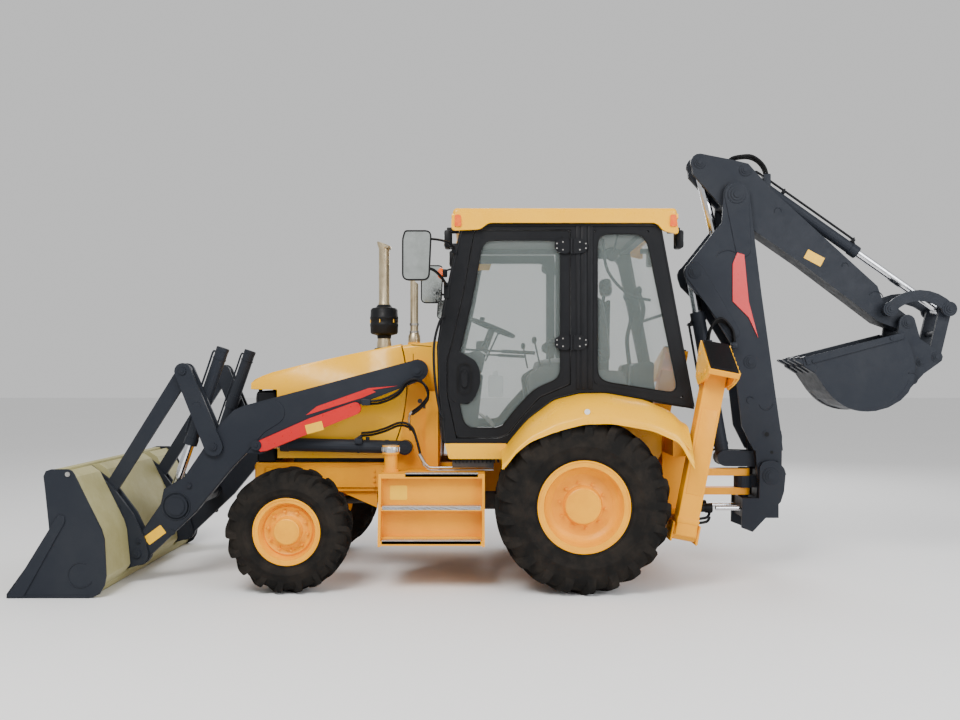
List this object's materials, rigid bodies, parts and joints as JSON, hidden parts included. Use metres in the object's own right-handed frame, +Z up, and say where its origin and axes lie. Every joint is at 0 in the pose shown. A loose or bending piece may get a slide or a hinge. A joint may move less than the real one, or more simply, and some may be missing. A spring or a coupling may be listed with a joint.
{
  "type": "backhoe loader",
  "caption": "Wheeled backhoe loader with a front loading bucket, glazed cab, folded rear digging arm and swing-out stabilizers.",
  "frame": {"origin": "on the ground under the middle of the machine's length and width", "axes": "+X forward, +Y to the driver's left, +Z up"},
  "size_m": [7.417, 2.3894, 3.4897],
  "materials": {
    "yellow_paint": "glossy yellow paint",
    "orange_paint": "satin orange-yellow paint",
    "slate_paint": "satin dark slate paint",
    "cab_trim": "satin charcoal paint",
    "bucket_paint": "dusty khaki paint",
    "chrome_rod": "polished rod",
    "stack_metal": "heat-stained steel",
    "tyre_rubber": "dusty black rubber",
    "seat_cloth": "dark woven cloth",
    "interior": "grained plastic",
    "engine_iron": "dark cast iron",
    "cab_glass": "tinted glass",
    "lamp_amber": "amber lens",
    "hose_rubber": "black hose",
    "red_paint": "glossy red paint",
    "tread_metal": "bare tread plate"
  },
  "bodies": {
    "chassis": {"main_frame": "orange_paint", "rear_frame": "orange_paint", "engine_block": "engine_iron", "front_axle": "orange_paint", "rear_axle": "orange_paint", "engine_cowl": "yellow_paint", "radiator_guard": "cab_trim", "cab_base": "yellow_paint", "cab_frame": "cab_trim", "cab_roof": "yellow_paint", "seat": "seat_cloth", "console": "interior", "step_tank_left": "orange_paint", "step_tank_right": "orange_paint", "exhaust_stack": "stack_metal"},
    "hood": {"hood": "yellow_paint", "precleaner": "stack_metal"},
    "knuckle_left": {"knuckle_left": "orange_paint"},
    "front_wheel_left": {"front_rim_left": "orange_paint", "front_tyre_left": "tyre_rubber"},
    "rear_wheel_left": {"rear_rim_left": "orange_paint", "rear_tyre_left": "tyre_rubber"},
    "door_left": {"door_left": "cab_trim"},
    "knuckle_right": {"knuckle_right": "orange_paint"},
    "front_wheel_right": {"front_rim_right": "orange_paint", "front_tyre_right": "tyre_rubber"},
    "rear_wheel_right": {"rear_rim_right": "orange_paint", "rear_tyre_right": "tyre_rubber"},
    "door_right": {"door_right": "cab_trim"},
    "loader_arm": {"loader_arm": "slate_paint"},
    "loader_bucket": {"loader_bucket": "bucket_paint"},
    "lift_barrel_left": {"lift_barrel_left": "slate_paint"},
    "lift_rod_left": {"lift_rod_left": "chrome_rod"},
    "bellcrank_left": {"bellcrank_left": "slate_paint"},
    "bucket_link_left": {"bucket_link_left": "slate_paint"},
    "tilt_barrel_left": {"tilt_barrel_left": "slate_paint"},
    "tilt_rod_left": {"tilt_rod_left": "chrome_rod"},
    "lift_barrel_right": {"lift_barrel_right": "slate_paint"},
    "lift_rod_right": {"lift_rod_right": "chrome_rod"},
    "bellcrank_right": {"bellcrank_right": "slate_paint"},
    "bucket_link_right": {"bucket_link_right": "slate_paint"},
    "tilt_barrel_right": {"tilt_barrel_right": "slate_paint"},
    "tilt_rod_right": {"tilt_rod_right": "chrome_rod"},
    "swing_post": {"swing_post": "slate_paint"},
    "boom": {"boom": "slate_paint"},
    "boom_barrel": {"boom_barrel": "slate_paint"},
    "boom_rod": {"boom_rod": "chrome_rod"},
    "dipper": {"dipper": "slate_paint"},
    "dipper_barrel": {"dipper_barrel": "slate_paint"},
    "dipper_rod": {"dipper_rod": "chrome_rod"},
    "hoe_bucket": {"hoe_bucket": "slate_paint"},
    "hoe_rocker": {"hoe_rocker": "slate_paint"},
    "hoe_link": {"hoe_link": "slate_paint"},
    "hoe_bucket_barrel": {"hoe_bucket_barrel": "slate_paint"},
    "hoe_bucket_rod": {"hoe_bucket_rod": "chrome_rod"},
    "stabilizer_leg_left": {"stabilizer_leg_left": "orange_paint"},
    "stabilizer_pad_left": {"stabilizer_pad_left": "slate_paint"},
    "stabilizer_leg_right": {"stabilizer_leg_right": "orange_paint"},
    "stabilizer_pad_right": {"stabilizer_pad_right": "slate_paint"}
  },
  "joints": [
    {"name": "hood_tilt", "type": "hinge", "parent": "chassis", "child": "hood", "pos_m": [2.0635, 0, 1.55], "axis": [0, 1, 0], "range_deg": [0, 40]},
    {"name": "steer_left", "type": "hinge", "parent": "chassis", "child": "knuckle_left", "pos_m": [1.6835, 0.62, 0.467], "axis": [0, 0, 1], "range_deg": [-32, 32]},
    {"name": "front_wheel_left_spin", "type": "hinge", "parent": "knuckle_left", "child": "front_wheel_left", "pos_m": [1.6835, 0.9025, 0.467], "axis": [0, 1, 0], "continuous": true},
    {"name": "rear_wheel_left_spin", "type": "hinge", "parent": "chassis", "child": "rear_wheel_left", "pos_m": [-0.5165, 0.9025, 0.657], "axis": [0, 1, 0], "continuous": true},
    {"name": "door_left_hinge", "type": "hinge", "parent": "chassis", "child": "door_left", "pos_m": [-0.4515, 0.7935, 1.56], "axis": [0, 0, 1], "range_deg": [0, 70]},
    {"name": "steer_right", "type": "hinge", "parent": "chassis", "child": "knuckle_right", "pos_m": [1.6835, -0.62, 0.467], "axis": [0, 0, 1], "range_deg": [-32.5, 32.5]},
    {"name": "front_wheel_right_spin", "type": "hinge", "parent": "knuckle_right", "child": "front_wheel_right", "pos_m": [1.6835, -0.9025, 0.467], "axis": [0, 1, 0], "continuous": true},
    {"name": "rear_wheel_right_spin", "type": "hinge", "parent": "chassis", "child": "rear_wheel_right", "pos_m": [-0.5165, -0.9025, 0.657], "axis": [0, 1, 0], "continuous": true},
    {"name": "door_right_hinge", "type": "hinge", "parent": "chassis", "child": "door_right", "pos_m": [-0.4515, -0.7935, 1.56], "axis": [0, 0, -1], "range_deg": [0, 70]},
    {"name": "loader_lift", "type": "hinge", "parent": "chassis", "child": "loader_arm", "pos_m": [0.7435, 0, 1.668], "axis": [0, -1, 0], "range_deg": [0, 74]},
    {"name": "loader_bucket_tilt", "type": "hinge", "parent": "loader_arm", "child": "loader_bucket", "pos_m": [2.9345, 0, 0.232], "axis": [0, -1, 0], "range_deg": [-70, 35]},
    {"name": "lift_barrel_left_pivot", "type": "hinge", "parent": "chassis", "child": "lift_barrel_left", "pos_m": [0.8475, 0.485, 1.052], "axis": [0, -1, 0], "range_deg": [-0.5, 63.09]},
    {"name": "lift_rod_left_slide", "type": "slide", "parent": "lift_barrel_left", "child": "lift_rod_left", "axis": [0.9997, 0, 0.0254], "range_m": [-0.002, 0.6967]},
    {"name": "bellcrank_left_pivot", "type": "hinge", "parent": "loader_arm", "child": "bellcrank_left", "pos_m": [2.3345, 0.585, 1.067], "axis": [0, -1, 0], "range_deg": [-57.9, 29.2]},
    {"name": "bucket_link_left_pivot", "type": "hinge", "parent": "bellcrank_left", "child": "bucket_link_left", "pos_m": [2.5765, 0.585, 1.659], "axis": [0, -1, 0], "range_deg": [-26.75, 53]},
    {"name": "tilt_barrel_left_pivot", "type": "hinge", "parent": "bellcrank_left", "child": "tilt_barrel_left", "pos_m": [2.4675, 0.455, 1.387], "axis": [0, -1, 0], "range_deg": [-19.75, 39]},
    {"name": "tilt_rod_left_slide", "type": "slide", "parent": "tilt_barrel_left", "child": "tilt_rod_left", "axis": [0.3246, 0, -0.9458], "range_m": [-0.2708, 0.1364]},
    {"name": "lift_barrel_right_pivot", "type": "hinge", "parent": "chassis", "child": "lift_barrel_right", "pos_m": [0.8475, -0.485, 1.052], "axis": [0, -1, 0], "range_deg": [-0.5, 63.09]},
    {"name": "lift_rod_right_slide", "type": "slide", "parent": "lift_barrel_right", "child": "lift_rod_right", "axis": [0.9997, 0, 0.0254], "range_m": [-0.002, 0.6967]},
    {"name": "bellcrank_right_pivot", "type": "hinge", "parent": "loader_arm", "child": "bellcrank_right", "pos_m": [2.3345, -0.585, 1.067], "axis": [0, -1, 0], "range_deg": [-57.9, 29.2]},
    {"name": "bucket_link_right_pivot", "type": "hinge", "parent": "bellcrank_right", "child": "bucket_link_right", "pos_m": [2.5765, -0.585, 1.659], "axis": [0, -1, 0], "range_deg": [-26.75, 53]},
    {"name": "tilt_barrel_right_pivot", "type": "hinge", "parent": "bellcrank_right", "child": "tilt_barrel_right", "pos_m": [2.4675, -0.455, 1.387], "axis": [0, -1, 0], "range_deg": [-19.75, 39]},
    {"name": "tilt_rod_right_slide", "type": "slide", "parent": "tilt_barrel_right", "child": "tilt_rod_right", "axis": [0.3246, 0, -0.9458], "range_m": [-0.2708, 0.1364]},
    {"name": "backhoe_swing", "type": "hinge", "parent": "chassis", "child": "swing_post", "pos_m": [-1.9865, 0, 0.73], "axis": [0, 0, 1], "range_deg": [-90, 90]},
    {"name": "boom_lift", "type": "hinge", "parent": "swing_post", "child": "boom", "pos_m": [-2.1665, 0, 0.79], "axis": [0, -1, 0], "range_deg": [0, 110]},
    {"name": "boom_barrel_pivot", "type": "hinge", "parent": "swing_post", "child": "boom_barrel", "pos_m": [-1.8165, 0, 0.93], "axis": [0, -1, 0], "range_deg": [-0.5, 104.08]},
    {"name": "boom_rod_slide", "type": "slide", "parent": "boom_barrel", "child": "boom_rod", "axis": [0.1756, 0, 0.9845], "range_m": [-0.002, 0.5837]},
    {"name": "dipper_pivot", "type": "hinge", "parent": "boom", "child": "dipper", "pos_m": [-1.8905, 0, 3.136], "axis": [0, 1, 0], "range_deg": [0, 110]},
    {"name": "dipper_barrel_pivot", "type": "hinge", "parent": "boom", "child": "dipper_barrel", "pos_m": [-2.0035, 0, 1.739], "axis": [0, -1, 0], "range_deg": [-1.78, 0.5]},
    {"name": "dipper_rod_slide", "type": "slide", "parent": "dipper_barrel", "child": "dipper_rod", "axis": [0.2371, 0, 0.9715], "range_m": [-0.6678, 0.002]},
    {"name": "hoe_bucket_pivot", "type": "hinge", "parent": "dipper", "child": "hoe_bucket", "pos_m": [-3.3105, 0, 2.066], "axis": [0, 1, 0], "range_deg": [0, 130]},
    {"name": "hoe_rocker_pivot", "type": "hinge", "parent": "dipper", "child": "hoe_rocker", "pos_m": [-3.1585, 0, 2.178], "axis": [0, 1, 0], "range_deg": [-0.5, 106.33]},
    {"name": "hoe_link_pivot", "type": "hinge", "parent": "hoe_rocker", "child": "hoe_link", "pos_m": [-3.6465, 0, 2.178], "axis": [0, 1, 0], "range_deg": [-34.09, 0.5]},
    {"name": "hoe_bucket_barrel_pivot", "type": "hinge", "parent": "dipper", "child": "hoe_bucket_barrel", "pos_m": [-1.9775, 0, 3.351], "axis": [0, -1, 0], "range_deg": [-1.72, 0.5]},
    {"name": "hoe_bucket_rod_slide", "type": "slide", "parent": "hoe_bucket_barrel", "child": "hoe_bucket_rod", "axis": [-0.8181, 0, -0.575], "range_m": [-0.7798, 0.002]},
    {"name": "stabilizer_left", "type": "hinge", "parent": "chassis", "child": "stabilizer_leg_left", "pos_m": [-1.2905, 0.9, 0.44], "axis": [-0.9816, 0, -0.1908], "range_deg": [0, 105]},
    {"name": "stabilizer_pad_left_pivot", "type": "hinge", "parent": "stabilizer_leg_left", "child": "stabilizer_pad_left", "pos_m": [-1.51947, 0.9, 1.61795], "axis": [-0.9816, 0, -0.1908], "range_deg": [-30, 60]},
    {"name": "stabilizer_right", "type": "hinge", "parent": "chassis", "child": "stabilizer_leg_right", "pos_m": [-1.2905, -0.9, 0.44], "axis": [0.9816, 0, 0.1908], "range_deg": [0, 105]},
    {"name": "stabilizer_pad_right_pivot", "type": "hinge", "parent": "stabilizer_leg_right", "child": "stabilizer_pad_right", "pos_m": [-1.51947, -0.9, 1.61795], "axis": [0.9816, 0, 0.1908], "range_deg": [-30, 60]}
  ],
  "couplings": [
    {"joint": "steer_right", "follows": "steer_left", "ratio": 1},
    {"joint": "lift_barrel_left_pivot", "follows": "loader_lift", "ratio": 0.8458},
    {"joint": "lift_rod_left_slide", "follows": "loader_lift", "m_per_rad": 0.5379},
    {"joint": "bellcrank_left_pivot", "follows": "loader_bucket_tilt", "ratio": 0.82},
    {"joint": "bucket_link_left_pivot", "follows": "loader_bucket_tilt", "ratio": -0.75},
    {"joint": "tilt_barrel_left_pivot", "follows": "loader_bucket_tilt", "ratio": -0.55},
    {"joint": "tilt_rod_left_slide", "follows": "loader_bucket_tilt", "m_per_rad": 0.22},
    {"joint": "lift_barrel_right_pivot", "follows": "loader_lift", "ratio": 0.8458},
    {"joint": "lift_rod_right_slide", "follows": "loader_lift", "m_per_rad": 0.5379},
    {"joint": "bellcrank_right_pivot", "follows": "loader_bucket_tilt", "ratio": 0.82},
    {"joint": "bucket_link_right_pivot", "follows": "loader_bucket_tilt", "ratio": -0.75},
    {"joint": "tilt_barrel_right_pivot", "follows": "loader_bucket_tilt", "ratio": -0.55},
    {"joint": "tilt_rod_right_slide", "follows": "loader_bucket_tilt", "m_per_rad": 0.22},
    {"joint": "boom_barrel_pivot", "follows": "boom_lift", "ratio": 0.9416},
    {"joint": "boom_rod_slide", "follows": "boom_lift", "m_per_rad": 0.303},
    {"joint": "dipper_barrel_pivot", "follows": "dipper_pivot", "ratio": -0.0116},
    {"joint": "dipper_rod_slide", "follows": "dipper_pivot", "m_per_rad": -0.3468},
    {"joint": "hoe_rocker_pivot", "follows": "hoe_bucket_pivot", "ratio": 0.8141},
    {"joint": "hoe_link_pivot", "follows": "hoe_bucket_pivot", "ratio": -0.2584},
    {"joint": "hoe_bucket_barrel_pivot", "follows": "hoe_bucket_pivot", "ratio": -0.0094},
    {"joint": "hoe_bucket_rod_slide", "follows": "hoe_bucket_pivot", "m_per_rad": -0.3428}
  ]
}
